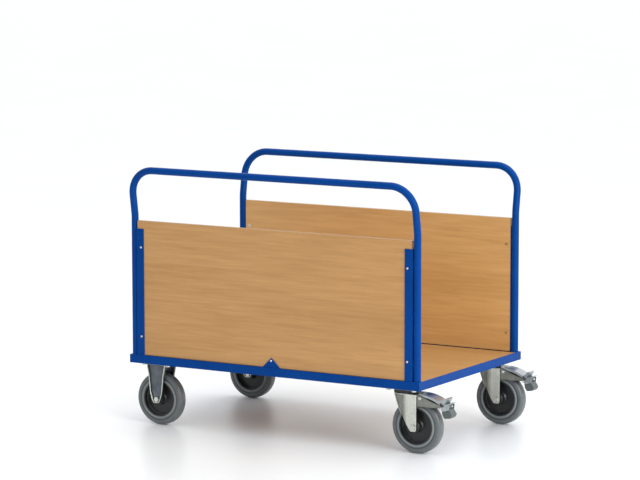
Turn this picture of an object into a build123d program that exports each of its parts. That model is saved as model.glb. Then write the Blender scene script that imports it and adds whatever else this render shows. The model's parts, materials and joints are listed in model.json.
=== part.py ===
from build123d import *
from math import sqrt
import os

# Two-sided platform trolley: a steel angle frame with a wooden deck, a wooden panel and a
# tube hoop along each long side, two fixed castors on the left and two braked swivel
# castors on the right. Millimetres, +X along the deck towards the swivel castors,
# -Y is the front side, +Z up, floor at z = 0.

# ---------------------------------------------------------------- frame and deck
frame_length = 1250.0
frame_width = 800.0
rail_height = 32.0
rail_wall = 4.0
rail_edge_round = 1.5
deck_thickness = 18.0
deck_below_edge = 1.0      # deck surface below the rail's upper edge
deck_edge_chamfer = 0.5
deck_end_gap = 2.0         # deck to the end rails
deck_post_gap = 1.0        # deck to the posts
channel_wall = 3.0
channel_lip = 22.0
middle_channel_width = 60.0
middle_channel_end_gap = 4.0
gusset_above_leg = 6.0     # gusset's foot above the rail's leg
deck_screw_dia = 5.0
deck_screw_head_dia = 10.0
deck_screw_head = 3.0
deck_screw_cover = 5.0     # wood left over a screw hole
deck_screws_per_row = 4
deck_screw_inset = 84.0    # outermost screws from the frame's long edges

# ---------------------------------------------------------------- hoops and side panels
tube_dia = 26.9
tube_wall = 2.0
weld_gap = 0.1             # root gap under a weld between a tube and a flat
post_foot_overhang = 3.0   # tube's foot past the rail's leg it stands on
hoop_kink_above_panel = 20.0
hoop_bar_above_kink = 174.0
hoop_lean = 27.0           # the top bar stands this far outside the posts
hoop_kink_radius = 140.0
hoop_corner_radius = 96.0
panel_thickness = 18.0
panel_height = 509.0
panel_lift = 1.0           # daylight between the rail's upper edge and the panel
panel_end_gap = 1.0
panel_edge_round = 1.0
angle_width = 32.0
angle_depth = 20.0
angle_wall = 3.0
angle_below_panel_top = 30.0
gusset_base = 76.0
gusset_height = 37.0       # point above the rail's upper edge
gusset_wall = 3.0
panel_screw_dia = 5.0
panel_screw_head_dia = 9.0
panel_screw_head_height = 3.2
panel_screw_inset = 11.0   # from the inner edge of the angle
panel_screw_below_top = 100.0
panel_screw_above_frame = 71.0
gusset_screw_below_point = 11.0
sleeve_nut_dia = 7.0
sleeve_nut_flange_dia = 11.0
sleeve_nut_flange = 1.2
sleeve_nut_length = 11.0
sleeve_nut_floor = 3.0
sleeve_nut_end_gap = 1.0
screw_engagement = 6.0
screw_socket = 1.7
screw_socket_depth = 1.6

# ---------------------------------------------------------------- castors
castor_over_wheel = 40.0   # plate's upper face above the wheel
castor_plate_length = 135.0
castor_plate_width = 110.0
castor_plate_wall = 4.0
castor_plate_corner = 10.0
castor_hole_inset_x = 15.0
castor_hole_inset_y = 17.5
castor_bolt_dia = 10.0
castor_bolt_across_flats = 16.0
castor_bolt_head = 6.4
castor_nut_height = 8.4
bolt_hole_clearance = 1.0
bolt_end = 1.5             # thread showing past a nut
nut_end_gap = 1.8          # castor nut's corner to the channel's outer flange
nut_side_gap = 0.6         # castor nut's flat to the long rail's leg

wheel_dia = 200.0
tyre_width = 46.0
tyre_wall = 32.5
tyre_shoulder_round = 12.0
tyre_crown = 1.2           # the tread stands this much proud at its middle
tyre_bead_height = 9.0     # raised ring beside the rim
tyre_bead_proud = 2.2
tyre_bead_groove = 3.0
tyre_bead_round = 3.5
hub_dia = 40.0
hub_beyond_tyre = 7.0      # each end of the hub past the tyre's side
hub_chamfer = 1.5
hub_side_gap = 0.6
rim_web = 8.0
rim_web_fillet = 5.0
rim_below_tyre = 1.0       # flange edge inside the tyre's bead
rim_flange_wall = 5.0
rim_seat_gap = 0.05
axle_dia = 12.0
axle_across_flats = 18.0
axle_head = 7.5
axle_nut_height = 10.0
axle_fit = 0.05            # radial running and seat fit
sleeve_wall = 3.5
roller_dia = 4.5
roller_count = 12
roller_inset = 8.0         # roller's end from the hub's end
cage_ring = 3.0
cage_gap = 0.3
cage_bar = 1.2
cage_bar_overlap = 1.0     # bar's end inside the cage's ring, past the rollers

leg_wall = 3.0
fixed_leg_rim = 8.0        # raised edge around a fixed bracket's leg
fixed_leg_rim_wall = 3.5
fixed_leg_rim_round = 1.4
fixed_leg_top_half = 42.0
fixed_leg_neck_half = 33.0
fixed_leg_neck_drop = 10.0 # neck below the top of the wheel
fixed_leg_low_half = 27.0
fixed_leg_low_rise = 27.0  # widest point of the lobe above the axle
leg_lobe_half = 19.0
leg_lobe_foot_half = 12.0
leg_lobe_drop = 13.5       # bottom of a leg below the axle
leg_lobe_round = 9.0

swivel_trail = 50.0        # axle behind the swivel axis
fork_crown_wall = 3.5
fork_crown_left = 30.0     # crown's front edge from the swivel axis
fork_head_dia = 78.0
fork_head_height = 5.5
seal_wall = 5.0            # dust ring round the fork head
seal_fit = 0.05
seal_gap = 1.5             # dust ring to the plate
race_boss_dia = 72.0
race_boss_bore = 52.0
race_boss_height = 4.5
race_ball_dia = 8.0
race_ball_sink = 1.0
race_ball_count = 20
race_fit = 0.05
kingpin_dia = 16.0
kingpin_head_dia = 24.0
kingpin_nut_across_flats = 24.0
kingpin_nut_height = 10.0
kingpin_nut_gap = 0.3
fork_rib = 6.0             # pressed rib down the rear of each fork leg
fork_rib_left = -23.0      # rib's front edge, from the axle
fork_rib_slope = 26.0      # width of the flank in front of the rib
fork_rib_round = 1.5
fork_edge = 3.0            # turned front edge of each fork leg
fork_edge_wall = 3.0
fork_leg_right = 12.0      # straight rear edge of the leg, from the axle
fork_leg_foot = (-12.0, 8.0)
fork_leg_knee = (-20.5, -5.0)
fork_leg_bend = (-62.0, -35.0)    # from the axle; above the top of the wheel
fork_leg_drop = 16.5
fork_arm_drop = 22.5       # arm's lower edge below the top of the wheel
fork_arm_round = 8.0
fork_tip_round = 3.0
# brake arm's upper edge and tip, measured from the wheel's right-hand and top tangents
fork_arm_points = [(4.0, -22.5), (12.0, -19.0), (11.0, -14.0), (-20.0, -4.0), (-43.0, 4.0)]
fork_arm_shoulder = (30.0, 14.0)  # from the axle; above the top of the wheel

brake_pivot_x = 24.0       # from the axle
brake_pivot_rise = 7.0     # above the top of the wheel
brake_pin_dia = 8.0
brake_pin_head = 2.0
brake_travel = 5.0         # degrees from free to braked
brake_shoe_gap = 0.3       # shoe to tyre when braked
brake_shoe_width = 36.0
brake_shoe_from = -54.0    # ends of the shoe, from the wheel's right-hand tangent
brake_shoe_to = -22.0
brake_shoe_low = -45.0     # lowest point, from the top of the wheel
shoe_top_rise = 7.0        # above the top of the wheel
shoe_seat_inset = 4.0
shoe_seat_half = 12.0
pedal_side_gap = 1.5
pedal_wall = 2.5
pedal_skirt = 9.0
pedal_left = 12.0
pedal_left_rise = 21.0
pedal_top_round = 4.0
pedal_ear_right = 38.0
pedal_ear_below = 7.0
pedal_ear_above = 11.0
pedal_cheek_wall = 2.5
pedal_cheek_half = 22.0
pedal_hole_dia = 6.0
# shapes at the pedal's end, measured from the wheel's right-hand and top tangents
pedal_arch = [(-43.0, 17.0), (4.0, -3.0)]
cheek_points = [(-8.0, 1.0), (4.0, -4.0), (20.0, -8.0), (38.0, -11.0), (36.0, -28.0), (17.0, -34.0),
                (-1.0, -30.0)]
cheek_holes = [(2.0, -27.0), (29.0, -20.0)]
tab_points = [(2.0, -5.5), (9.0, -3.0), (22.0, 13.0), (30.0, 11.0), (22.0, -4.0), (15.0, -9.0)]
lip_points = [(16.0, -9.0), (41.0, -4.0), (41.0, -7.0), (16.0, -12.0)]
pad_points = [(6.0, -33.0), (34.0, -24.0), (49.0, -46.5), (41.0, -58.5), (17.5, -61.7), (9.0, -50.0)]
cheek_round = 2.5
tab_round = 1.2
pad_round = 6.0
pad_edge_round = 2.0

# ---------------------------------------------------------------- derived places
wheel_radius = wheel_dia / 2
axle_height = wheel_radius
rail_bottom = wheel_dia + castor_over_wheel
frame_top = rail_bottom + rail_height
rail_leg_top = rail_bottom + rail_wall
rail_leg = rail_wall + weld_gap + tube_dia - post_foot_overhang
half_length = frame_length / 2
half_width = frame_width / 2
post_inset = rail_wall + weld_gap + tube_dia / 2
post_x = half_length - post_inset
post_y = half_width - post_inset
deck_top = frame_top - deck_below_edge
deck_bottom = deck_top - deck_thickness
deck_half_width = post_y - tube_dia / 2 - deck_post_gap
deck_half_length = half_length - rail_wall - deck_end_gap
angle_outer_y = half_width - rail_wall
angle_outer_x = post_x - tube_dia / 2 - weld_gap
panel_outer_y = angle_outer_y - angle_wall
panel_inner_y = panel_outer_y - panel_thickness
panel_half_length = angle_outer_x - angle_wall - panel_end_gap
panel_bottom = frame_top + panel_lift
panel_top = panel_bottom + panel_height
angle_top = panel_top - angle_below_panel_top
hoop_kink_height = panel_top + hoop_kink_above_panel
hoop_bar_height = hoop_kink_height + hoop_bar_above_kink
castor_hole_pitch_x = castor_plate_length - 2 * castor_hole_inset_x
castor_hole_pitch_y = castor_plate_width - 2 * castor_hole_inset_y
castor_inset_x = (rail_leg + channel_wall + nut_end_gap + castor_bolt_across_flats / sqrt(3)
                  + castor_hole_pitch_x / 2)
castor_inset_y = rail_leg + nut_side_gap + castor_bolt_across_flats / 2 + castor_hole_pitch_y / 2
castor_x = half_length - castor_inset_x
castor_y = half_width - castor_inset_y
channel_width = 2 * (castor_inset_x - rail_leg)
plate_bottom = rail_bottom - castor_plate_wall
rim_dia = wheel_dia - 2 * tyre_wall
hub_length = tyre_width + 2 * hub_beyond_tyre
sleeve_dia = axle_dia + 2 * sleeve_wall
roller_length = hub_length - 2 * roller_inset
leg_inner_y = hub_length / 2 + hub_side_gap
leg_outer_y = leg_inner_y + leg_wall
channel_outer_x = half_length - rail_leg
channel_half_y = half_width - rail_leg
race_boss_bottom = plate_bottom - race_boss_height
ball_height = race_boss_bottom - race_ball_dia / 2 + race_ball_sink
ball_pitch = (race_boss_dia + race_boss_bore) / 4
fork_head_top = ball_height - race_ball_dia / 2 + race_ball_sink
fork_crown_top = fork_head_top - fork_head_height
fork_crown_bottom = fork_crown_top - fork_crown_wall

sides = {"front": -1, "back": 1}
ends = {"left": -1, "right": 1}


# ---------------------------------------------------------------- shape helpers
def block(x0, x1, y0, y1, z0, z1):
    return Pos((x0 + x1) / 2, (y0 + y1) / 2, (z0 + z1) / 2) * Box(x1 - x0, y1 - y0, z1 - z0)


def cylinder_z(radius, z0, z1, x=0.0, y=0.0):
    return Pos(x, y, (z0 + z1) / 2) * Cylinder(radius, z1 - z0)


def cylinder_y(radius, y0, y1, x=0.0, z=0.0):
    return Pos(x, (y0 + y1) / 2, z) * Rot(90, 0, 0) * Cylinder(radius, y1 - y0)


def hex_z(across_flats, z0, z1, x=0.0, y=0.0):
    hexagon = RegularPolygon(across_flats / 2, 6, major_radius=False)
    return Pos(x, y, z0) * extrude(hexagon, z1 - z0)


def hex_y(across_flats, y0, y1, x=0.0, z=0.0):
    return Pos(x, y0, z) * Rot(-90, 0, 0) * hex_z(across_flats, 0, y1 - y0)


def side_plate(outline, y0, y1):
    """Plate in the XZ plane from y0 to y1, for an outline drawn as (x, z)."""
    return Pos(0, y1, 0) * extrude(Plane.XZ * outline, y1 - y0)


def about_y(shape, pivot_x, pivot_z, angle):
    """Turn a shape about a Y axis; a positive angle lowers its +X side."""
    return Pos(pivot_x, 0, pivot_z) * Rot(0, angle, 0) * Pos(-pivot_x, 0, -pivot_z) * shape


def mirrored_pair(shape):
    """The shape and its mirror image across the XZ plane."""
    return shape + mirror(shape, about=Plane.XZ)


def rounded_outline(points, radius):
    outline = make_face(Polyline(*points, close=True))
    return fillet(outline.vertices(), radius)


# ---------------------------------------------------------------- frame
def rail(length, out):
    """Front rail of a frame: an angle along X, flange outside at y = -out, mitred ends."""
    half = length / 2
    section = [
        (-out, rail_bottom), (rail_leg - out, rail_bottom), (rail_leg - out, rail_leg_top),
        (rail_wall - out, rail_leg_top), (rail_wall - out, frame_top), (-out, frame_top),
    ]
    profile = make_face(Polyline(*[(0, y, z) for y, z in section], close=True))
    bar = extrude(profile, half, both=True, dir=(1, 0, 0))
    outer_edges = [e for e in bar.edges().filter_by(Axis.X) if abs(e.center().Y + out) < 1e-6]
    bar = fillet(outer_edges, rail_edge_round)
    plan = [(-half, -out), (half, -out), (half - rail_leg, rail_leg - out), (rail_leg - half, rail_leg - out)]
    mitre = Pos(0, 0, rail_bottom) * extrude(make_face(Polyline(*plan, close=True)), rail_height)
    return bar & mitre


def end_channel():
    """Cross channel over the right castors: flat web, two flanges and a lip under the deck."""
    inner_x = channel_outer_x - channel_width
    under_deck = deck_bottom - channel_wall
    inner_wall, outer_wall = inner_x + channel_wall, channel_outer_x - channel_wall
    channel = Part() + [
        block(x0, x1, -channel_half_y, channel_half_y, z0, z1) for x0, x1, z0, z1 in (
            (inner_x, channel_outer_x, rail_bottom, rail_bottom + channel_wall),
            (outer_wall, channel_outer_x, rail_bottom, deck_bottom),
            (inner_x, inner_wall, rail_bottom, deck_bottom),
            (inner_x - channel_lip, inner_wall, under_deck, deck_bottom),
        )
    ]
    for x, y in castor_hole_places():
        channel -= cylinder_z((castor_bolt_dia + bolt_hole_clearance) / 2, rail_bottom, deck_bottom, x, y)
    channel -= [cylinder_z(kingpin_head_dia / 2 + bolt_hole_clearance, rail_bottom, deck_bottom, castor_x, y)
                for y in (-castor_y, castor_y)]
    return channel - deck_screw_holes(inner_x - channel_lip / 2, under_deck)


def middle_channel():
    """Inverted channel across the middle, standing on the rails' legs."""
    half_x = middle_channel_width / 2
    half_y = half_width - rail_wall - middle_channel_end_gap
    outside = block(-half_x, half_x, -half_y, half_y, rail_leg_top, deck_bottom)
    inside = block(channel_wall - half_x, half_x - channel_wall, -half_y, half_y,
                   rail_leg_top, deck_bottom - channel_wall)
    return outside - inside - deck_screw_holes(0, deck_bottom - channel_wall)


def deck_screw_rows():
    lip_x = channel_outer_x - channel_width - channel_lip / 2
    return [-lip_x, 0.0, lip_x]


def deck_screw_ys():
    outermost = half_width - deck_screw_inset
    pitch = 2 * outermost / (deck_screws_per_row - 1)
    return [i * pitch - outermost for i in range(deck_screws_per_row)]


def deck_screw_holes(x, z0):
    radius = (deck_screw_dia + bolt_hole_clearance) / 2
    return [cylinder_z(radius, z0, deck_bottom, x, y) for y in deck_screw_ys()]


def deck_board():
    board = block(-deck_half_length, deck_half_length, -deck_half_width, deck_half_width,
                  deck_bottom, deck_top)
    board = chamfer(board.edges().group_by(Axis.Z)[-1], deck_edge_chamfer)
    for x in deck_screw_rows():
        board -= [cylinder_z(deck_screw_dia / 2 + axle_fit, deck_bottom, deck_top - deck_screw_cover, x, y)
                  for y in deck_screw_ys()]
    return board


def deck_screws():
    """Pan-head screws driven up through the channels into the board."""
    under = deck_bottom - channel_wall
    shank = cylinder_z(deck_screw_dia / 2, under, deck_top - deck_screw_cover - 1)
    head = cylinder_z(deck_screw_head_dia / 2, under - deck_screw_head, under)
    head = fillet(head.edges().group_by(Axis.Z)[0], deck_screw_head * 0.4)
    socket = Pos(0, 0, under - deck_screw_head) * extrude(RegularPolygon(screw_socket, 6), screw_socket_depth)
    screw = head + shank - socket
    return [Pos(x, y, 0) * screw for x in deck_screw_rows() for y in deck_screw_ys()]


# ---------------------------------------------------------------- hoops, angles and panels
def hoop():
    """Front hoop: one bent tube, upright to the kink, then leaning outwards."""
    top_y = -post_y - hoop_lean
    points = [
        (-post_x, -post_y, rail_leg_top), (-post_x, -post_y, hoop_kink_height),
        (-post_x, top_y, hoop_bar_height), (post_x, top_y, hoop_bar_height),
        (post_x, -post_y, hoop_kink_height), (post_x, -post_y, rail_leg_top),
    ]
    radii = [hoop_kink_radius, hoop_corner_radius, hoop_corner_radius, hoop_kink_radius]
    path = FilletPolyline(*points, radius=radii)
    start = Plane(path @ 0, z_dir=path % 0)
    outside = sweep(start * Circle(tube_dia / 2), path=path)
    return outside - sweep(start * Circle(tube_dia / 2 - tube_wall), path=path)


def panel_angle():
    """Front right angle: one leg over the panel's face, one along its end beside the post."""
    section = [
        (angle_outer_x, -angle_outer_y), (angle_outer_x, angle_depth - angle_outer_y),
        (angle_outer_x - angle_wall, angle_depth - angle_outer_y),
        (angle_outer_x - angle_wall, angle_wall - angle_outer_y),
        (angle_outer_x - angle_width, angle_wall - angle_outer_y),
        (angle_outer_x - angle_width, -angle_outer_y),
    ]
    profile = make_face(Polyline(*section, close=True))
    bar = Pos(0, 0, rail_leg_top) * extrude(profile, angle_top - rail_leg_top)
    for z in panel_screw_heights():
        bar -= screw_hole(panel_screw_x(), z)
    return bar


def panel_screw_x():
    return angle_outer_x - angle_width + panel_screw_inset


def panel_screw_heights():
    return [frame_top + panel_screw_above_frame, panel_top - panel_screw_below_top]


def panel_screw_places():
    """Every screw of the front panel, as (x, z)."""
    corners = [(side * panel_screw_x(), z) for side in ends.values() for z in panel_screw_heights()]
    return corners + [(0.0, gusset_screw_height())]


def gusset_screw_height():
    return frame_top + gusset_height - gusset_screw_below_point


def screw_hole(x, z):
    return cylinder_y(panel_screw_dia / 2 + axle_fit, -angle_outer_y, -panel_inner_y, x, z)


def gusset():
    """Front gusset: a triangular tab standing inside the rail, screwed to the panel."""
    half = gusset_base / 2
    foot = rail_leg_top + gusset_above_leg
    outline = make_face(Polyline((-half, foot), (half, foot), (half, frame_top),
                                 (0, frame_top + gusset_height), (-half, frame_top), close=True))
    plate = side_plate(outline, -angle_outer_y, gusset_wall - angle_outer_y)
    return plate - screw_hole(0, gusset_screw_height())


def panel():
    """Front panel, standing just above the rail between the two angles."""
    board = block(-panel_half_length, panel_half_length, -panel_outer_y, -panel_inner_y,
                  panel_bottom, panel_top)
    board = fillet(board.edges().group_by(Axis.Z)[-1].filter_by(Axis.X), panel_edge_round)
    for x, z in panel_screw_places():
        board -= screw_hole(x, z)
        for dia, depth in ((sleeve_nut_dia, sleeve_nut_length + sleeve_nut_end_gap),
                           (sleeve_nut_flange_dia, sleeve_nut_flange)):
            board -= cylinder_y(dia / 2 + axle_fit, -panel_inner_y - depth, -panel_inner_y, x, z)
    return board


def panel_screw():
    """Round-head screw at x = z = 0 with its head on the front angle."""
    head_back = -angle_outer_y
    head = cylinder_y(panel_screw_head_dia / 2, head_back - panel_screw_head_height, head_back)
    head = fillet(head.edges().group_by(Axis.Y)[0], panel_screw_head_height * 0.7)
    shank_end = screw_engagement - panel_inner_y - sleeve_nut_length
    shank = cylinder_y(panel_screw_dia / 2, head_back, shank_end)
    socket = extrude(RegularPolygon(screw_socket, 6), screw_socket_depth)
    return head + shank - Pos(0, head_back - panel_screw_head_height, 0) * Rot(-90, 0, 0) * socket


def sleeve_nut():
    """Barrel nut let flush into the panel's inner face, at x = z = 0."""
    face = -panel_inner_y
    nut = cylinder_y(sleeve_nut_dia / 2, face - sleeve_nut_length, face)
    nut += cylinder_y(sleeve_nut_flange_dia / 2, face - sleeve_nut_flange, face)
    nut -= cylinder_y(panel_screw_dia / 2 + axle_fit, face - sleeve_nut_length, face - sleeve_nut_floor)
    socket = extrude(RegularPolygon(screw_socket, 6), screw_socket_depth)
    return nut - Pos(0, face, 0) * Rot(90, 0, 0) * socket


def both_sides(shape):
    return [shape, mirror(shape, about=Plane.XZ)]


def at_panel_screws(piece):
    placed = [Pos(x, 0, z) * piece for x, z in panel_screw_places()]
    return placed + [mirror(p, about=Plane.XZ) for p in placed]


# ---------------------------------------------------------------- castor plates and bolts
def castor_hole_places(center_x=castor_x):
    """Bolt holes of the two plates at one end, as (x, y)."""
    dx, dy = castor_hole_pitch_x / 2, castor_hole_pitch_y / 2
    return [(center_x + i * dx, side * castor_y + j * dy)
            for side in (-1, 1) for i in (-1, 1) for j in (-1, 1)]


def castor_plate():
    """Mounting plate about its own centre, under the frame."""
    outline = RectangleRounded(castor_plate_length, castor_plate_width, castor_plate_corner)
    for i in (-1, 1):
        for j in (-1, 1):
            hole = Circle((castor_bolt_dia + bolt_hole_clearance) / 2)
            outline -= Pos(i * castor_hole_pitch_x / 2, j * castor_hole_pitch_y / 2) * hole
    return Pos(0, 0, plate_bottom) * extrude(outline, castor_plate_wall)


def castor_bolt_places():
    return castor_hole_places(-castor_x) + castor_hole_places(castor_x)


def castor_bolt():
    top = rail_bottom + channel_wall + castor_nut_height + bolt_end
    head = hex_z(castor_bolt_across_flats, plate_bottom - castor_bolt_head, plate_bottom)
    return head + cylinder_z(castor_bolt_dia / 2, plate_bottom, top)


def castor_nut():
    seat = rail_bottom + channel_wall
    nut = hex_z(castor_bolt_across_flats, seat, seat + castor_nut_height)
    return nut - cylinder_z(castor_bolt_dia / 2 + axle_fit, seat, seat + castor_nut_height)


# ---------------------------------------------------------------- wheel, about an axle along Y
def revolve_y(points):
    """Solid of revolution about Y for a closed outline of (radius, y) points."""
    return revolve(make_face(Polyline(*points, close=True)), Axis.Y)


def tyre():
    """Solid tyre: raised bead ring beside the rim, groove, side wall and rounded tread."""
    inner, outer, half = rim_dia / 2, wheel_radius, tyre_width / 2
    side = half - tyre_bead_proud
    bead = inner + tyre_bead_height
    shoulder = outer - tyre_crown
    quarter = [
        (inner, side), (inner + tyre_bead_groove, half), (bead - tyre_bead_groove, half), (bead, side),
        (bead + tyre_bead_groove, side), (shoulder, side),
    ]
    outline = make_face(Polyline(*[(r, -y) for r, y in quarter], (outer, 0), *reversed(quarter), close=True))
    shoulders = [v for v in outline.vertices() if abs(v.X - shoulder) < 1e-6]
    outline = fillet(shoulders, tyre_shoulder_round)
    beads = [v for v in outline.vertices() if abs(abs(v.Y) - half) < 1e-6]
    return revolve(fillet(beads, tyre_bead_round), Axis.Y)


def rim():
    """Dished plastic wheel centre: flange under the tyre, web and hub."""
    seat = rim_dia / 2 - rim_seat_gap
    flange_half, web_half, hub_half = tyre_width / 2 - rim_below_tyre, rim_web / 2, hub_length / 2
    flange_inner = seat - rim_flange_wall
    hub, soft = hub_dia / 2, rim_web_fillet
    half = [
        (roller_bore(), hub_half), (hub - hub_chamfer, hub_half), (hub, hub_half - hub_chamfer),
        (hub, web_half + soft), (hub + soft, web_half), (flange_inner - soft, web_half),
        (flange_inner, web_half + soft), (flange_inner, flange_half), (seat, flange_half),
    ]
    outline = [(r, y) for r, y in half] + [(r, -y) for r, y in reversed(half)]
    return revolve_y(outline)


def roller_pitch():
    return sleeve_dia / 2 + axle_fit + roller_dia / 2


def roller_bore():
    return roller_pitch() + roller_dia / 2 + axle_fit


def roller_bearing():
    """Rollers in a cage of two end rings joined by bars."""
    half = roller_length / 2
    ring_inner, ring_outer = sleeve_dia / 2 + cage_gap, roller_bore() - cage_gap
    rollers = [Rot(0, 360 * i / roller_count, 0) * cylinder_y(roller_dia / 2, -half, half, roller_pitch())
               for i in range(roller_count)]
    bar_end, bar_half = half + cage_bar_overlap, cage_bar / 2
    bar = block(ring_inner + cage_gap, ring_outer - cage_gap, -bar_end, bar_end, -bar_half, bar_half)
    cage = Part()
    for sign in (-1, 1):
        low, high = sorted((sign * (half + cage_gap), sign * (half + cage_gap + cage_ring)))
        cage += cylinder_y(ring_outer, low, high) - cylinder_y(ring_inner, low, high)
    cage += [Rot(0, 360 * (i + 0.5) / roller_count, 0) * bar for i in range(roller_count)]
    return [cage.solids()[0]] + rollers


def axle_sleeve():
    return (cylinder_y(sleeve_dia / 2, -leg_inner_y, leg_inner_y)
            - cylinder_y(axle_dia / 2 + axle_fit, -leg_inner_y, leg_inner_y))


def axle_bolt(seat):
    """Bolt clamping two legs whose outer faces are at y = -seat and y = seat."""
    flat, end = axle_across_flats / 2, -seat - axle_head
    corner = 2 * flat / sqrt(3)
    head = hex_y(axle_across_flats, end, -seat)
    head &= revolve_y([(0, -seat), (corner, -seat), (corner, end + corner - flat), (flat, end), (0, end)])
    return head + cylinder_y(axle_dia / 2, -seat, seat + axle_nut_height + bolt_end)


def axle_nut(seat):
    nut = hex_y(axle_across_flats, seat, seat + axle_nut_height)
    return nut - cylinder_y(axle_dia / 2 + axle_fit, seat, seat + axle_nut_height)


# ---------------------------------------------------------------- fixed castor, wheel plane at y = 0
def fixed_leg_outline():
    """Leg seen from its side, axle at (0, 0)."""
    top = plate_bottom - axle_height
    right = [
        (leg_lobe_foot_half, -leg_lobe_drop), (leg_lobe_half, 0), (fixed_leg_low_half, fixed_leg_low_rise),
        (fixed_leg_neck_half, wheel_radius - fixed_leg_neck_drop), (fixed_leg_top_half, top),
    ]
    outline = make_face(Polyline(*[(-x, z) for x, z in reversed(right)], *right, close=True))
    return fillet([v for v in outline.vertices() if v.Y < top - 1], leg_lobe_round)


def fixed_bracket():
    """Pressed bracket: plate and two legs, each leg's edge turned outwards."""
    outline = fixed_leg_outline()
    core = offset(outline, -fixed_leg_rim_wall)
    leg = side_plate(outline, -leg_outer_y, -leg_inner_y)
    turned_edge = side_plate(outline - core, -leg_outer_y - fixed_leg_rim, -leg_outer_y)
    top = plate_bottom - axle_height
    clear_half = fixed_leg_neck_half - fixed_leg_rim_wall
    turned_edge -= block(-clear_half, clear_half, -leg_outer_y - fixed_leg_rim, -leg_outer_y,
                         top - fixed_leg_rim_wall - 1, top)
    turned_edge = fillet(turned_edge.edges().group_by(Axis.Y)[0], fixed_leg_rim_round)
    leg += turned_edge
    leg -= cylinder_y(axle_dia / 2 + axle_fit, -leg_outer_y, -leg_inner_y)
    legs = Pos(0, 0, axle_height) * mirrored_pair(leg)
    return castor_plate() + legs


# ---------------------------------------------------------------- swivel castor, swivel axis at x = y = 0
def swivel_plate():
    """Mounting plate with the upper ball race under it and a countersunk pin hole."""
    boss = cylinder_z(race_boss_dia / 2, race_boss_bottom, plate_bottom)
    boss -= cylinder_z(race_boss_bore / 2, race_boss_bottom, plate_bottom)
    plate = castor_plate() + boss
    plate -= kingpin_body(axle_fit)
    return plate - ball_groove()


def ball_groove():
    return Pos(0, 0, ball_height) * Torus(ball_pitch, race_ball_dia / 2 + race_fit)


def race_balls():
    return [Rot(0, 0, 360 * i / race_ball_count) * Pos(ball_pitch, 0, ball_height) * Sphere(race_ball_dia / 2)
            for i in range(race_ball_count)]


def swivel_seal():
    """Dust ring pushed over the fork head, covering the balls."""
    inner = fork_head_dia / 2 + seal_fit
    ring = cylinder_z(inner + seal_wall, fork_crown_top, plate_bottom - seal_gap)
    ring = chamfer(ring.edges().group_by(Axis.Z)[-1], seal_wall / 4)
    return ring - cylinder_z(inner, fork_crown_top, plate_bottom - seal_gap)


def kingpin_body(gap=0.0):
    """Swivel pin with a head riveted flush into the plate, grown all round by gap."""
    head, shank = kingpin_head_dia / 2 + gap, kingpin_dia / 2 + gap
    sunk = rail_bottom - (kingpin_head_dia - kingpin_dia) / 4
    foot = fork_crown_bottom - kingpin_nut_gap - kingpin_nut_height - bolt_end
    outline = make_face(Polyline((0, foot), (shank, foot), (shank, plate_bottom), (shank, sunk - 1),
                                 (head, rail_bottom), (0, rail_bottom), close=True))
    return revolve(Plane.XZ * outline, Axis.Z)


def kingpin_nut():
    top = fork_crown_bottom - kingpin_nut_gap
    nut = hex_z(kingpin_nut_across_flats, top - kingpin_nut_height, top)
    return nut - cylinder_z(kingpin_dia / 2 + axle_fit, top - kingpin_nut_height, top)


def above_wheel(point):
    """A point given as (x from the axle, z above the top of the wheel)."""
    return point[0], point[1] + wheel_radius


def beyond_wheel(points):
    """Points given from the wheel's right-hand and top tangents."""
    return [(x + wheel_radius, z + wheel_radius) for x, z in points]


def at_height(outline, height):
    return [v for v in outline.vertices() if abs(v.Y - height) < 1e-6]


def fork_leg_outline():
    """Fork leg and brake arm seen from the side, axle at (0, 0)."""
    top = fork_crown_top - axle_height
    arm_lower = wheel_radius - fork_arm_drop
    foot_left, foot_right = fork_leg_foot
    points = [
        (-swivel_trail - fork_crown_left, top), above_wheel(fork_leg_bend), fork_leg_knee,
        (foot_left, -fork_leg_drop), (foot_right, -fork_leg_drop),
        (fork_leg_right, foot_right - fork_leg_drop), (fork_leg_right, arm_lower),
        *beyond_wheel(fork_arm_points), above_wheel(fork_arm_shoulder),
        (fork_leg_right, top),
    ]
    outline = make_face(Polyline(*points, close=True))
    outline = fillet([v for v in at_height(outline, arm_lower) if v.X < wheel_radius / 2], fork_arm_round)
    outline = fillet([v for v in outline.vertices() if v.Y < 0], fork_tip_round)
    return fillet([v for v in outline.vertices() if v.X > wheel_radius], fork_tip_round)


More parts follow.
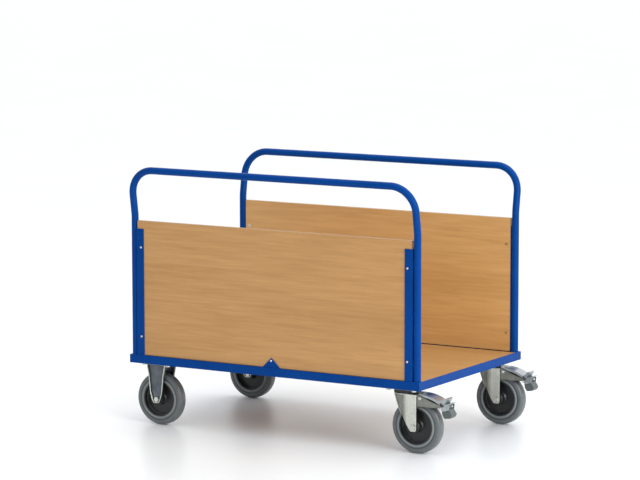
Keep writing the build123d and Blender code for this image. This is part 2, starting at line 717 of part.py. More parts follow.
def fork():
    """Pressed swivel fork: head with the lower race, crown, two legs and two brake arms."""
    outline = fork_leg_outline()
    top = fork_crown_top - axle_height
    leg = side_plate(outline, -leg_outer_y, -leg_inner_y)
    rib_face = -leg_outer_y - fork_rib
    rib_section = make_face(Polyline(
        (fork_rib_left - fork_rib_slope, -leg_outer_y), (fork_rib_left, rib_face), (fork_leg_right, rib_face),
        (fork_leg_right, -leg_outer_y), close=True))
    rib = Pos(0, 0, -fork_leg_drop) * extrude(rib_section, top + fork_leg_drop)
    rib &= side_plate(outline, rib_face, -leg_outer_y)
    leg += fillet(rib.edges().group_by(Axis.Y)[0], fork_rib_round)
    edge = side_plate(outline - offset(outline, -fork_edge_wall), -leg_outer_y - fork_edge, -leg_outer_y)
    leg += edge & block(-swivel_trail - fork_crown_left, fork_rib_left - fork_rib_slope,
                        -leg_outer_y - fork_edge, -leg_outer_y, 0, top)
    leg -= cylinder_y(axle_dia / 2 + axle_fit, rib_face, -leg_inner_y)
    leg -= cylinder_y(brake_pin_dia / 2 + axle_fit, rib_face, -leg_inner_y, brake_pivot_x, pivot_z)
    legs = Pos(swivel_trail, 0, axle_height) * mirrored_pair(leg)
    crown_right = swivel_trail + fork_leg_right - fork_crown_wall
    crown = block(-fork_crown_left, crown_right, -leg_outer_y, leg_outer_y, fork_crown_bottom, fork_crown_top)
    head = cylinder_z(fork_head_dia / 2, fork_crown_bottom, fork_head_top)
    body = legs + crown + head
    body -= cylinder_z(kingpin_dia / 2 + axle_fit, fork_crown_bottom, fork_head_top)
    return body - ball_groove()


def at_axle(shape):
    """Place a wheel piece from the axle's own origin onto the swivel castor's axle."""
    return Pos(swivel_trail, 0, axle_height) * shape


def fork_axle():
    """Axle bolt, nut and sleeve of a swivel castor; head and nut sit on the legs' ribs."""
    seat = leg_outer_y + fork_rib
    return [at_axle(axle_bolt(seat)), at_axle(axle_nut(seat)), at_axle(axle_sleeve())]


# ---------------------------------------------------------------- brake, axle at (0, 0) in side view
pivot_z = wheel_radius + brake_pivot_rise
shoe_top = wheel_radius + shoe_top_rise
shell_half = leg_inner_y - pedal_side_gap
pad_half = pedal_cheek_half - pedal_cheek_wall - weld_gap


def brake_pin():
    """Pivot pin through both legs, with a rivet head outside each."""
    face = leg_outer_y
    head = cylinder_y(brake_pin_dia / 2 + brake_pin_head, face, face + brake_pin_head, brake_pivot_x, pivot_z)
    head = fillet(head.edges().group_by(Axis.Y)[-1], brake_pin_head * 0.75)
    return cylinder_y(brake_pin_dia / 2, -face, face, brake_pivot_x, pivot_z) + mirrored_pair(head)


def shell_outline(depth):
    """Side view of the pedal shell, from its arched top down to depth below it."""
    top = [above_wheel((pedal_left, pedal_left_rise)), *beyond_wheel(pedal_arch)]
    low = [(x, z - depth) for x, z in top]
    return make_face(Wire([ThreePointArc(*top), Line(top[2], low[2]), ThreePointArc(*reversed(low)),
                           Line(low[0], top[0])]))


def pedal_shell():
    """Arched cover between the arms, open underneath."""
    shell = side_plate(shell_outline(pedal_skirt), -shell_half, shell_half)
    top_face = shell.faces().sort_by(Axis.Z)[-1]
    long_edges = [e for e in top_face.edges() if abs(abs(e.center().Y) - shell_half) < 1e-6]
    shell = fillet(long_edges, pedal_top_round)
    hollow = side_plate(shell_outline(pedal_skirt), pedal_wall - shell_half, shell_half - pedal_wall)
    return shell - Pos(0, 0, -pedal_wall) * hollow


def pivot_ears():
    """Two ears under the shell that turn on the pivot pin."""
    low, high = pivot_z - pedal_ear_below, pivot_z + pedal_ear_above
    outline = rounded_outline([(pedal_left, high), (pedal_left, low), (pedal_ear_right, low),
                               (pedal_ear_right, high)], cheek_round)
    ears = mirrored_pair(side_plate(outline, -shell_half, pedal_wall - shell_half))
    return ears - cylinder_y(brake_pin_dia / 2 + axle_fit, -shell_half, shell_half, brake_pivot_x, pivot_z)


def pedal_end():
    """Cheeks that carry the pad, the raised release tab and the lip beside it."""
    cheek = side_plate(rounded_outline(beyond_wheel(cheek_points), cheek_round), -pedal_cheek_half,
                       pedal_cheek_wall - pedal_cheek_half)
    for x, z in beyond_wheel(cheek_holes):
        cheek -= cylinder_y(pedal_hole_dia / 2, -pedal_cheek_half, 0, x, z)
    outlines = [rounded_outline(beyond_wheel(points), tab_round) for points in (tab_points, lip_points)]
    return mirrored_pair(cheek) + [side_plate(o, -pedal_cheek_half, pedal_cheek_half) for o in outlines]


def shoe_seat():
    """Block that hangs from the shell and carries the shoe."""
    left = wheel_radius + brake_shoe_from + shoe_seat_inset
    right = wheel_radius + brake_shoe_to - shoe_seat_inset
    seat = block(left, right, -shoe_seat_half, shoe_seat_half, shoe_top, pivot_z * 2)
    return seat & side_plate(shell_outline(2 * pedal_skirt), -shoe_seat_half, shoe_seat_half)


def brake_pedal():
    return pedal_shell() + pivot_ears() + pedal_end() + shoe_seat()


def brake_pad():
    """Plastic foot pad held between the cheeks."""
    pad = side_plate(rounded_outline(beyond_wheel(pad_points), pad_round), -pad_half, pad_half)
    return fillet(pad.edges().group_by(Axis.Y)[0] + pad.edges().group_by(Axis.Y)[-1], pad_edge_round)


def brake_shoe():
    """Rubber shoe whose lower face fits the tread once the pedal is down."""
    half = brake_shoe_width / 2
    body = block(wheel_radius + brake_shoe_from, wheel_radius + brake_shoe_to, -half, half,
                 wheel_radius + brake_shoe_low, shoe_top - weld_gap)
    tread = cylinder_y(wheel_radius + brake_shoe_gap, -half, half)
    return body - about_y(tread, brake_pivot_x, pivot_z, -brake_travel)


# ---------------------------------------------------------------- write one file per piece
pad_reach = brake_pad().bounding_box().max.X
overhang = castor_x + swivel_trail + pad_reach - half_length
middle = Pos(-overhang / 2, 0, 0)      # puts the origin under the middle of the whole trolley

os.makedirs("parts", exist_ok=True)


def write(node, *shapes):
    placed = [middle * solid for shape in shapes for solid in shape.solids()]
    export_step(placed[0] if len(placed) == 1 else Compound(placed), f"parts/{node}.step")


def turned(shape):
    return Rot(0, 0, 180) * shape


front_rail = rail(frame_length, half_width)
right_rail = Rot(0, 0, 90) * rail(frame_width, half_length)
write("rail_front", front_rail)
write("rail_back", turned(front_rail))
write("rail_right", right_rail)
write("rail_left", turned(right_rail))
write("cross_channel_right", end_channel())
write("cross_channel_left", mirror(end_channel(), about=Plane.YZ))
write("cross_channel_middle", middle_channel())
write("deck_board", deck_board())
write("deck_screws", *deck_screws())

for side_name, piece in zip(sides, both_sides(panel())):
    write(f"panel_{side_name}", piece)
for side_name, piece in zip(sides, both_sides(hoop())):
    write(f"hoop_{side_name}", piece)
for side_name, piece in zip(sides, both_sides(gusset())):
    write(f"gusset_{side_name}", piece)
for side_name, piece in zip(sides, both_sides(panel_angle())):
    write(f"panel_angle_{side_name}_right", piece)
    write(f"panel_angle_{side_name}_left", mirror(piece, about=Plane.YZ))
write("panel_screws", *at_panel_screws(panel_screw()))
write("panel_sleeve_nuts", *at_panel_screws(sleeve_nut()))
write("castor_bolts", *[Pos(x, y, 0) * castor_bolt() for x, y in castor_bolt_places()])
write("castor_nuts", *[Pos(x, y, 0) * castor_nut() for x, y in castor_bolt_places()])

wheel_pieces = {"tyre": tyre(), "rim": rim()}
bearing = roller_bearing()
fixed_axles = [Pos(-castor_x, side * castor_y, axle_height) for side in sides.values()]
write("fixed_axle_bolts", *[place * axle_bolt(leg_outer_y) for place in fixed_axles])
write("fixed_axle_nuts", *[place * axle_nut(leg_outer_y) for place in fixed_axles])
write("fixed_axle_sleeves", *[place * axle_sleeve() for place in fixed_axles])

swivel_bases = [Pos(castor_x, side * castor_y, 0) for side in sides.values()]
write("kingpins", *[base * kingpin_body() for base in swivel_bases])
write("kingpin_nuts", *[base * kingpin_nut() for base in swivel_bases])

for side_name, base, fixed_axle in zip(sides, swivel_bases, fixed_axles):
    write(f"fixed_bracket_{side_name}", Pos(-castor_x, sides[side_name] * castor_y, 0) * fixed_bracket())
    write(f"swivel_plate_{side_name}", base * swivel_plate())
    write(f"fork_{side_name}", base * fork())
    write(f"swivel_seal_{side_name}", base * swivel_seal())
    write(f"swivel_balls_{side_name}", *[base * ball for ball in race_balls()])
    write(f"fork_axle_{side_name}", *[base * piece for piece in fork_axle()])
    fork_pieces = {
        "brake_pin": brake_pin(), "brake_pedal": brake_pedal(), "brake_pad": brake_pad(),
        "brake_shoe": brake_shoe(),
    }
    for piece_name, piece in fork_pieces.items():
        write(f"{piece_name}_{side_name}", base * at_axle(piece))
    for end_name, place in (("left", fixed_axle), ("right", base * Pos(swivel_trail, 0, axle_height))):
        for piece_name, piece in wheel_pieces.items():
            write(f"{piece_name}_{side_name}_{end_name}", place * piece)
        write(f"bearing_{side_name}_{end_name}", *[place * piece for piece in bearing])
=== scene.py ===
import json
import math

import bmesh
import bpy
from mathutils import Matrix, Vector


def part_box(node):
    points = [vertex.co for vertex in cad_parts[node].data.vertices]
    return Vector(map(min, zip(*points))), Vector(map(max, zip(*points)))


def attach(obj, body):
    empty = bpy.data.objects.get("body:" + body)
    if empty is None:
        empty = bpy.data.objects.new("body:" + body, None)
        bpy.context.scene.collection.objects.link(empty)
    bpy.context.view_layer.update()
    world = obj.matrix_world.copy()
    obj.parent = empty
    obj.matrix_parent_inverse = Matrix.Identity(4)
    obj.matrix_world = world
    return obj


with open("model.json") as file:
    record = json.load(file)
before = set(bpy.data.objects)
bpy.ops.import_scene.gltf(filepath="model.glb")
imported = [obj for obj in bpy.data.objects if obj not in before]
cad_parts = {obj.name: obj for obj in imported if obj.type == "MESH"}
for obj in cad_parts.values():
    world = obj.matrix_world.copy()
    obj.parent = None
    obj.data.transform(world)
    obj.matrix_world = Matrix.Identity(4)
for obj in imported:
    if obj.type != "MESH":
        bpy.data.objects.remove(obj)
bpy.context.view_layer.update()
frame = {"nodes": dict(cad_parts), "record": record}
nodes = frame["nodes"]
scene = bpy.context.scene

# ---------------------------------------------------------------- camera
CAMERA_FROM_DECK = Vector((5.9087, -9.9979, 2.2149))     # metres, from the floor under the deck
CAMERA_AZIMUTH = 30.689      # degrees round the object, 0 looks along +Y
CAMERA_ELEVATION = 7.420     # degrees above the horizon
CAMERA_ROLL = -0.0805        # degrees
CAMERA_LENS = 174.47         # mm
SENSOR_WIDTH = 36.0          # mm
CLIP_END = 200.0             # metres


def add_camera():
    """Camera at the photo's viewing angle, placed from the middle of the deck."""
    azimuth, elevation = math.radians(CAMERA_AZIMUTH), math.radians(CAMERA_ELEVATION)
    back = Vector((math.sin(azimuth) * math.cos(elevation),
                   -math.cos(azimuth) * math.cos(elevation),
                   math.sin(elevation)))
    level = (-back).to_track_quat("-Z", "Y").to_matrix()
    turned = level @ Matrix.Rotation(math.radians(CAMERA_ROLL), 3, "Z")
    data = bpy.data.cameras.new("camera")
    data.sensor_width = SENSOR_WIDTH
    data.lens = CAMERA_LENS
    data.clip_end = CLIP_END
    camera = bpy.data.objects.new("camera", data)
    low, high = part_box("deck_board")
    deck_middle = Vector(((low[0] + high[0]) / 2, (low[1] + high[1]) / 2, 0.0))
    camera.matrix_world = Matrix.Translation(deck_middle + CAMERA_FROM_DECK) @ turned.to_4x4()
    scene.collection.objects.link(camera)
    scene.camera = camera


add_camera()


# ---------------------------------------------------------------- material helper
EVEN = (1, 1, 1)      # pattern stretch: the same size along every axis
MIDDLE = 0.1          # metres to either side of the trolley's middle, where one half's look fades


def shade(color, factor):
    """The colour made darker, or lighter where factor is over 1."""
    return tuple(c * factor for c in color)


class Shader:
    """A node material built step by step; every pattern runs in the object's own metres.

    The colour and roughness given at the start are the plain look under the patterns, which a
    viewer that doesn't read them falls back to.
    """

    def __init__(self, name, color, roughness, metallic=0.0):
        self.material = bpy.data.materials.new(name)
        self.material.use_nodes = True
        self.nodes = self.material.node_tree.nodes
        self.links = self.material.node_tree.links
        self.surface = self.nodes["Principled BSDF"]
        self.surface.inputs["Base Color"].default_value = (*color, 1.0)
        self.surface.inputs["Roughness"].default_value = roughness
        self.surface.inputs["Metallic"].default_value = metallic
        coordinates = self.nodes.new("ShaderNodeTexCoord")
        self.place = coordinates.outputs["Object"]
        self.normal = coordinates.outputs["Normal"]
        self.box_place = coordinates.outputs["Generated"]

    def add(self, kind, inputs, **settings):
        node = self.nodes.new(kind)
        for key, value in settings.items():
            setattr(node, key, value)
        for key, value in inputs.items():
            self.feed(node.inputs[key], value)
        return node

    def feed(self, socket, value):
        """Links an output to the socket, or sets a constant on it."""
        if isinstance(value, bpy.types.NodeSocket):
            self.links.new(value, socket)
        elif socket.type == "RGBA":
            socket.default_value = (*value, 1.0)
        else:
            socket.default_value = value

    def scaled(self, stretch):
        mapping = self.add("ShaderNodeMapping", {"Vector": self.place, "Scale": stretch})
        return mapping.outputs["Vector"]

    def noise(self, per_metre, stretch=EVEN, detail=3.0, roughness=0.5):
        node = self.add("ShaderNodeTexNoise", {
            "Vector": self.scaled(stretch), "Scale": per_metre,
            "Detail": detail, "Roughness": roughness})
        return node.outputs["Fac"]

    def spots(self, per_metre, stretch):
        node = self.add("ShaderNodeTexVoronoi", {
            "Vector": self.scaled(stretch), "Scale": per_metre})
        return node.outputs["Distance"]

    def math(self, operation, a, b=0.0):
        return self.add("ShaderNodeMath", {0: a, 1: b}, operation=operation).outputs[0]

    def average(self, a, b, share=0.5):
        """Weighted mean of two values, with share of the first."""
        return self.math("ADD", self.math("MULTIPLY", a, share),
                         self.math("MULTIPLY", b, 1.0 - share))

    def remap(self, value, low, high, to_low=0.0, to_high=1.0):
        node = self.add("ShaderNodeMapRange", {
            "Value": value, "From Min": low, "From Max": high,
            "To Min": to_low, "To Max": to_high})
        return node.outputs["Result"]

    def band(self, value, start, full_from, full_to, end):
        """0 up to start, 1 from full_from to full_to, 0 again from end on."""
        return self.math("MULTIPLY", self.remap(value, start, full_from),
                         self.remap(value, end, full_to))

    def blend(self, factor, first, second, mode="MIX"):
        node = self.add("ShaderNodeMix", {}, data_type="RGBA", blend_type=mode)
        inputs = {socket.identifier: socket for socket in node.inputs}
        self.feed(inputs["Factor_Float"], factor)
        self.feed(inputs["A_Color"], first)
        self.feed(inputs["B_Color"], second)
        return next(s for s in node.outputs if s.identifier == "Result_Color")

    def axis(self, vector, name):
        return self.add("ShaderNodeSeparateXYZ", {"Vector": vector}).outputs[name]

    def color(self, value):
        self.feed(self.surface.inputs["Base Color"], value)

    def roughness(self, value):
        self.feed(self.surface.inputs["Roughness"], value)

    def bump(self, height, depth_mm, strength=1.0):
        """Adds a bump on top of any that is already there."""
        before = self.surface.inputs["Normal"].links
        node = self.add("ShaderNodeBump", {
            "Height": height, "Distance": depth_mm / 1000, "Strength": strength})
        if before:
            self.links.new(before[0].from_socket, node.inputs["Normal"])
        self.links.new(node.outputs["Normal"], self.surface.inputs["Normal"])


# ---------------------------------------------------------------- powder coat
COAT_SPECULAR = 0.07
COAT_DEEP = (0.0002, 0.044, 0.232)
COAT_MEAN = (0.0002, 0.049, 0.250)
COAT_PALE = (0.0003, 0.053, 0.268)


def powder_coat():
    """Blue powder coat: orange-peel skin, slight shade changes and scuffs that dull the gloss."""
    shader = Shader("powder_coat_blue", COAT_MEAN, 0.34)
    shader.surface.inputs["Specular IOR Level"].default_value = COAT_SPECULAR
    cloud = shader.noise(6.0, detail=2.0)
    shader.color(shader.blend(shader.remap(cloud, 0.3, 0.7), COAT_DEEP, COAT_PALE))
    scuffs = shader.noise(55.0, stretch=(1, 1, 0.35), detail=6.0, roughness=0.7)
    shader.roughness(shader.remap(scuffs, 0.35, 0.75, 0.24, 0.42))
    orange_peel = shader.noise(420.0, detail=2.0)
    shader.bump(orange_peel, 0.10, 0.35)
    return shader.material


# ---------------------------------------------------------------- beech
PLY_MM = 2.6                       # one light and one dark ply of a board's edge
GRAIN_STRETCH = (0.06, 1, 1)       # both boards' grain runs along X
FLECK_STRETCH = (0.14, 1, 1)
# Painted light: the back panel is made lighter where it stands in the front panel's shade
BACK_PANEL_LIGHTENING = (1.12, 1.19, 1.22)


def beech(name, thin_axis, light, dark, back_painted_light=None):
    """Beech-faced board: long soft grain, short dark flecks, and layered plies on the edges; a
    back panel is made lighter behind the middle, as painted light.
    """
    shader = Shader(name, light, 0.42)
    grain = shader.noise(90.0, stretch=GRAIN_STRETCH, detail=5.0, roughness=0.62)
    bands = shader.noise(9.0, stretch=GRAIN_STRETCH, detail=2.0)
    tone = shader.average(grain, bands, 0.55)
    face = shader.blend(shader.remap(tone, 0.36, 0.64), dark, light)
    flecks = shader.remap(shader.spots(520.0, FLECK_STRETCH), 0.22, 0.10)
    in_grain = shader.remap(grain, 0.45, 0.62, 0.0, 0.45)
    face = shader.blend(shader.math("MULTIPLY", flecks, in_grain), face, shade(dark, 0.62))

    plies = shader.math("MULTIPLY", shader.axis(shader.place, thin_axis), 1000.0 / PLY_MM)
    ply = shader.math("PINGPONG", plies, 0.5)
    edge_dark = shade(dark, 0.48)
    edge = shader.blend(shader.remap(ply, 0.10, 0.30), edge_dark, shade(light, 0.86))
    edge_noise = shader.noise(300.0)
    edge = shader.blend(shader.remap(edge_noise, 0.3, 0.8, 0.0, 0.5), edge, edge_dark)

    facing = shader.math("ABSOLUTE", shader.axis(shader.normal, thin_axis))
    board = shader.blend(shader.remap(facing, 0.55, 0.75), edge, face)
    if back_painted_light:
        # Painted light: the board behind the middle is made lighter
        lit_board = shader.blend(1.0, board, back_painted_light, "MULTIPLY")
        behind = shader.remap(shader.axis(shader.place, "Y"), -MIDDLE, MIDDLE)
        board = shader.blend(behind, board, lit_board)
    shader.color(board)
    shader.roughness(shader.remap(grain, 0.3, 0.7, 0.36, 0.52))
    shader.bump(grain, 0.05, 0.5)
    return shader.material


# ---------------------------------------------------------------- zinc
tyre_low, tyre_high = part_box("tyre_front_left")
WHEEL_SIZE = tyre_high[2] - tyre_low[2]
WHEEL_PLANE = abs(tyre_low[1] + tyre_high[1]) / 2      # each wheel plane's distance from Y = 0

LONG_LINES = (1, 1, 0.08)       # rolling lines stretched along Z
# Painted shade on the castors' sunk webs: where it is full, where it is gone, and where it stops
RECESS_SHADE_FULL = 0.0345              # metres from the wheel plane: just outside the castors' webs
RECESS_SHADE_GONE = 0.0385              # metres from the wheel plane: just inside their ribs and rims
RECESS_SHADE_TOP = 0.2335               # height where the painted shade stops, below the castors' plates
RECESS_SHADE_TOP_FADE = 0.001
FIXED_CASTOR_SHADE = (0.50, 0.54, 0.68)      # painted shade in the fixed castors' recesses is darker and bluer


def zinc(name, tint, roughness, lines, shaded_recesses=False):
    """Bright zinc: crystal mottle, rolling lines and dull patches; on the castors, painted shade
    darkens the sunk webs, darker and bluer on the fixed castors.
    """
    shader = Shader(name, tint, roughness, metallic=1.0)
    mottle = shader.noise(140.0, detail=4.0, roughness=0.6)
    patch = shader.noise(28.0)
    tone = shader.average(mottle, patch)
    plate = shader.blend(shader.remap(tone, 0.35, 0.65), shade(tint, 0.80), tint)
    if shaded_recesses:
        # Painted shade on the castors' sunk webs, darker and bluer on the fixed castors at the
        # left end
        deep_shade, light_shade = shade(tint, 0.28), shade(tint, 0.42)
        recess_shade = shader.blend(shader.remap(patch, 0.3, 0.7), deep_shade, light_shade)
        blue_recess_shade = shader.blend(1.0, recess_shade, FIXED_CASTOR_SHADE, "MULTIPLY")
        fixed = shader.remap(shader.axis(shader.place, "X"), MIDDLE, -MIDDLE)
        recess_shade = shader.blend(fixed, recess_shade, blue_recess_shade)
        plate = shader.blend(castor_recess(shader), plate, recess_shade)
    shader.color(plate)
    shader.roughness(shader.remap(tone, 0.3, 0.7, roughness + 0.10, roughness - 0.06))
    shader.bump(shader.noise(900.0, stretch=lines, detail=2.0), 0.02, 0.5)
    shader.bump(mottle, 0.05, 0.35)
    return shader.material


def castor_recess(shader):
    """Mask of the painted shade: 1 on the castors' sunk webs and 0 on their raised ribs and rims.
    """
    from_middle = shader.math("ABSOLUTE", shader.axis(shader.place, "Y"))
    from_plane = shader.math("ABSOLUTE", shader.math("SUBTRACT", from_middle, WHEEL_PLANE))
    sunk = shader.remap(from_plane, RECESS_SHADE_GONE, RECESS_SHADE_FULL)
    height = shader.axis(shader.place, "Z")
    below_plate = shader.remap(height, RECESS_SHADE_TOP + RECESS_SHADE_TOP_FADE, RECESS_SHADE_TOP)
    return shader.math("MULTIPLY", sunk, below_plate)


# ---------------------------------------------------------------- rubber and plastic
# Distances from the axle in metres for the bead's painted highlight and the groove's painted
# shade: where a ring starts, is full, is still full, and ends
TYRE_BEAD_HIGHLIGHT = (0.0668, 0.0690, 0.0760, 0.0785)
TYRE_GROOVE_SHADE = (0.0765, 0.0785, 0.0800, 0.0850)


def rubber(name, color, roughness, wheel=False):
    """Rubber with a fine pitted skin and floor dust; a wheel has a painted highlight on its bead
    and painted shade in the groove.
    """
    shader = Shader(name, color, roughness)
    cloud = shader.noise(38.0, detail=6.0, roughness=0.65)
    tone = shader.blend(shader.remap(cloud, 0.3, 0.7), shade(color, 0.88), color)
    dust = shader.math("MULTIPLY", shader.remap(cloud, 0.45, 0.75), 0.25)
    tone = shader.blend(dust, tone, tuple(c + 0.055 for c in color))
    if wheel:
        radius = axle_distance(shader)
        # Painted highlight on the bead and painted shade in the groove beside it
        tone = shader.blend(shader.band(radius, *TYRE_BEAD_HIGHLIGHT), tone, shade(color, 1.6))
        tone = shader.blend(shader.band(radius, *TYRE_GROOVE_SHADE), tone, shade(color, 0.42))
    shader.color(tone)
    shader.roughness(shader.remap(cloud, 0.3, 0.7, roughness - 0.04, roughness + 0.08))
    pits = shader.noise(700.0, detail=2.0)
    shader.bump(pits, 0.06, 0.45)
    return shader.material


def axle_distance(shader):
    """Distance from the axle in metres, on a tyre whose box is one wheel wide and high."""
    squares = []
    for name in ("X", "Z"):
        across = shader.math("SUBTRACT", shader.axis(shader.box_place, name), 0.5)
        squares.append(shader.math("MULTIPLY", across, across))
    return shader.math("MULTIPLY", shader.math("SQRT", shader.math("ADD", *squares)), WHEEL_SIZE)


def moulded(name, color, roughness):
    """Moulded plastic: fine spark-eroded grain and slight sheen changes."""
    shader = Shader(name, color, roughness)
    cloud = shader.noise(45.0, detail=4.0)
    lighter = tuple(c * 1.35 + 0.004 for c in color)
    shader.color(shader.blend(shader.remap(cloud, 0.3, 0.75), color, lighter))
    shader.roughness(shader.remap(cloud, 0.3, 0.7, roughness - 0.06, roughness + 0.10))
    shader.bump(shader.noise(1500.0, detail=1.0), 0.03, 0.5)
    return shader.material


# ---------------------------------------------------------------- materials by slot
MATERIALS = {
    "powder_coat": powder_coat(),
    "deck_wood": beech("beech_deck", "Z", (0.490, 0.270, 0.096), (0.395, 0.208, 0.067)),
    "panel_wood": beech("beech_panel", "Y", (0.590, 0.320, 0.120), (0.46, 0.234, 0.076),
                        back_painted_light=BACK_PANEL_LIGHTENING),
    "tyre_rubber": rubber("grey_rubber", (0.128, 0.142, 0.145), 0.30, wheel=True),
    "rim_plastic": moulded("black_plastic", (0.014, 0.015, 0.016), 0.34),
    "pad_plastic": moulded("pad_plastic", (0.075, 0.090, 0.090), 0.45),
    # The brake shoe is near black: a real part whose dark colour also stands in for the shadow on
    # the tread under the pedal
    "shoe_rubber": rubber("shoe_rubber", (0.018, 0.018, 0.019), 0.62),
    # The swivel seal is near black: a real dust ring whose dark colour also stands in for the
    # shade under the swivel plates
    "seal_plastic": moulded("seal_plastic", (0.016, 0.017, 0.018), 0.5),
    # The pedal's zinc is a darker, bluer copy of the zinc: painted shade on the pedal shell
    "pedal_steel": zinc("pedal_steel", (0.50, 0.54, 0.56), 0.30, LONG_LINES),
    "zinc_sheet": zinc("zinc_sheet", (0.74, 0.77, 0.69), 0.30, LONG_LINES, shaded_recesses=True),
    "zinc_fastener": zinc("zinc_fastener", (0.72, 0.74, 0.72), 0.26, EVEN),
}


def paint_cad():
    """Gives every CAD node the material of its slot in the record."""
    for entry in frame["record"]["subparts"]:
        mesh = nodes[entry["node"]].data
        mesh.materials.clear()
        mesh.materials.append(MATERIALS[entry["material_slot"]])


paint_cad()


# ---------------------------------------------------------------- weld beads
TUBE_RADIUS = 0.01345        # metres, as all sizes here
BEAD_RADIUS = 0.0017
BEAD_PITCH = 0.0022          # one ripple of a weld bead
BEAD_STEP = 0.00055          # one ring of its mesh
BEAD_SEGMENTS = 10
BEAD_LOW = 0.84              # a ripple's smallest size, as a share of the bead's radius
TIP_LOW = 0.35               # the size of a bead's ends

STITCH_LENGTH = 0.030
STITCH_HEIGHTS = (0.15, 0.5, 0.85)      # where stitches start, as shares of the angle's height
STITCH_BEHIND = 0.0066       # behind the angle's outer face
STITCH_OUT = 0.0009          # past the angle's edge
POST_RUN = 0.008             # half a run where a post meets the rail
TOP_SINK = 0.0004            # how deep a run's middle lies in the rail's top
WALL_SINK = 0.0002           # how far a run's middle lies behind the angle's face
POST_GAP = 0.0001            # between a post and the angle's outer face


def bead_rings(shape, start, end, radius):
    """Rings of vertices from start to end, whose size swells and drops once per ripple."""
    along = (end - start).normalized()
    turn = along.to_track_quat("Z", "Y").to_matrix()
    steps = round((end - start).length / BEAD_STEP)
    rings = []
    for i in range(steps + 1):
        run = i * BEAD_STEP
        ripple = BEAD_LOW + (1 - BEAD_LOW) * (run % BEAD_PITCH) / BEAD_PITCH
        from_tip = min(run, (steps - i) * BEAD_STEP) / radius
        tip = min(1.0, TIP_LOW + (1 - TIP_LOW) * from_tip)
        ring = []
        for k in range(BEAD_SEGMENTS):
            angle = 2 * math.pi * k / BEAD_SEGMENTS
            out = Vector((math.cos(angle), math.sin(angle), 0)) * radius * ripple * tip
            ring.append(shape.verts.new(start + along * run + turn @ out))
        rings.append(ring)
    return rings


def weld_bead(name, start, end):
    """One closed, rippled bead of powder-coated weld on the chassis."""
    shape = bmesh.new()
    rings = bead_rings(shape, Vector(start), Vector(end), BEAD_RADIUS)
    for low, high in zip(rings, rings[1:]):
        for k in range(BEAD_SEGMENTS):
            after = (k + 1) % BEAD_SEGMENTS
            shape.faces.new((low[k], low[after], high[after], high[k]))
    shape.faces.new(reversed(rings[0]))
    shape.faces.new(rings[-1])
    mesh = bpy.data.meshes.new(name)
    shape.to_mesh(mesh)
    shape.free()
    mesh.polygons.foreach_set("use_smooth", [True] * len(mesh.polygons))
    mesh.materials.append(MATERIALS["powder_coat"])
    bead = bpy.data.objects.new(name, mesh)
    scene.collection.objects.link(bead)
    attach(bead, "chassis")


def add_corner_welds(side, out, end, way):
    """Stitches between one angle and its post, and a run where the post meets each rail edge."""
    rail_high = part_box(f"rail_{side}")[1]
    hoop_low, hoop_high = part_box(f"hoop_{side}")
    angle_low, angle_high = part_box(f"panel_angle_{side}_{end}")
    angle_x = angle_low[0] if way < 0 else angle_high[0]
    angle_y = angle_low[1] if out < 0 else angle_high[1]
    for number, share in enumerate(STITCH_HEIGHTS):
        z = angle_low[2] + share * (angle_high[2] - angle_low[2])
        place = Vector((angle_x + way * STITCH_OUT, angle_y - out * STITCH_BEHIND, z))
        weld_bead(f"weld_stitch_{side}_{end}_{number}", place,
                  place + Vector((0, 0, STITCH_LENGTH)))

    post_x = (hoop_low[0] if way < 0 else hoop_high[0]) - way * TUBE_RADIUS
    post_y = angle_y - out * (TUBE_RADIUS + POST_GAP)
    top = rail_high[2] - TOP_SINK
    wall = angle_y - out * WALL_SINK
    weld_bead(f"weld_post_{side}_{end}", (post_x - POST_RUN, wall, top),
              (post_x + POST_RUN, wall, top))
    edge = post_x + way * TUBE_RADIUS
    weld_bead(f"weld_end_{side}_{end}", (edge, post_y - POST_RUN, top),
              (edge, post_y + POST_RUN, top))


for side, out in (("front", -1), ("back", 1)):
    for end, way in (("left", -1), ("right", 1)):
        add_corner_welds(side, out, end, way)


# ---------------------------------------------------------------- studio
FLOOR_HALF = 60.0                     # metres from the middle to the floor's edges
FLOOR_DEEP, FLOOR_PALE = (0.85, 0.878, 0.893), (0.87, 0.895, 0.91)
FLOOR_MEAN = (0.86, 0.885, 0.90)
BRIGHT_SIDE = (0.22, 0.58, 0.78)      # direction of the bright half of the room
BRIGHT_SKY, DIM_SKY = 1.17, 0.24      # strength of the two halves
SKY_FADE = (-0.45, 0.35)              # slope towards the bright side where the dim half fades


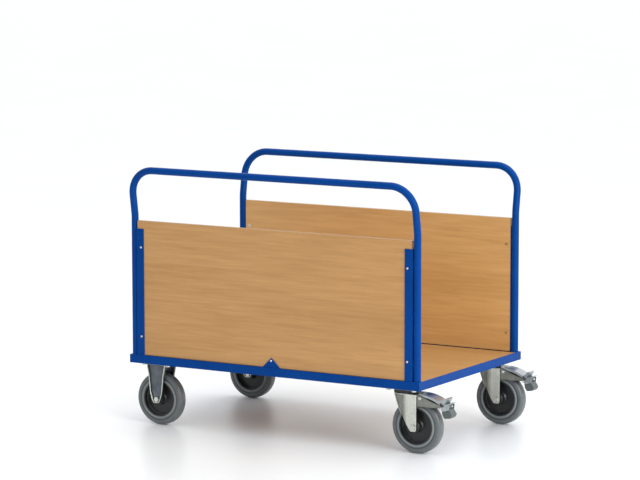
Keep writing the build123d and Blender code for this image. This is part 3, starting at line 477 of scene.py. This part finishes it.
def add_floor():
    """Plain pale floor with a faint, broad change of shade and gloss."""
    mesh = bpy.data.meshes.new("floor")
    corners = [(-FLOOR_HALF, -FLOOR_HALF, 0), (FLOOR_HALF, -FLOOR_HALF, 0),
               (FLOOR_HALF, FLOOR_HALF, 0), (-FLOOR_HALF, FLOOR_HALF, 0)]
    mesh.from_pydata(corners, [], [(0, 1, 2, 3)])
    floor = bpy.data.objects.new("floor", mesh)
    scene.collection.objects.link(floor)
    shader = Shader("studio_floor", FLOOR_MEAN, 0.34)
    haze = shader.noise(1.3, detail=2.0)
    shader.color(shader.blend(haze, FLOOR_DEEP, FLOOR_PALE))
    shader.roughness(shader.remap(haze, 0.3, 0.7, 0.30, 0.40))
    mesh.materials.append(shader.material)


def add_world():
    """Studio round the trolley: bright above and behind, dim on the camera's side."""
    world = bpy.data.worlds.new("studio")
    scene.world = world
    world.use_nodes = True
    tree = world.node_tree
    background = tree.nodes["Background"]
    background.inputs["Color"].default_value = (1.0, 1.0, 1.0, 1.0)
    direction = tree.nodes.new("ShaderNodeTexCoord").outputs["Generated"]
    slope = tree.nodes.new("ShaderNodeVectorMath")
    slope.operation = "DOT_PRODUCT"
    slope.inputs[1].default_value = BRIGHT_SIDE
    tree.links.new(direction, slope.inputs[0])
    fade = tree.nodes.new("ShaderNodeMapRange")
    fade.interpolation_type = "SMOOTHSTEP"
    fade.inputs["From Min"].default_value, fade.inputs["From Max"].default_value = SKY_FADE
    fade.inputs["To Min"].default_value = DIM_SKY
    fade.inputs["To Max"].default_value = BRIGHT_SKY
    tree.links.new(slope.outputs["Value"], fade.inputs["Value"])
    tree.links.new(fade.outputs["Result"], background.inputs["Strength"])


def add_softbox(name, place, aim, size, watts):
    """Rectangular area light at place that faces aim; places and size are in metres."""
    data = bpy.data.lights.new(name, "AREA")
    data.shape = "RECTANGLE"
    data.size, data.size_y = size
    data.energy = watts
    lamp = bpy.data.objects.new(name, data)
    lamp.location = place
    lamp.rotation_mode = "QUATERNION"
    lamp.rotation_quaternion = (Vector(aim) - Vector(place)).to_track_quat("-Z", "Y")
    scene.collection.objects.link(lamp)


add_floor()
add_world()
add_softbox("right_softbox", place=(4.6, -2.0, 2.2), aim=(0.2, 0.0, 0.5),
            size=(2.6, 2.2), watts=130.0)
add_softbox("top_softbox", place=(0.3, 0.2, 5.0), aim=(0.0, 0.0, 0.3),
            size=(4.0, 3.0), watts=40.0)
scene.view_settings.view_transform = "Standard"
scene.view_settings.look = "None"
scene.view_settings.exposure = 0.0
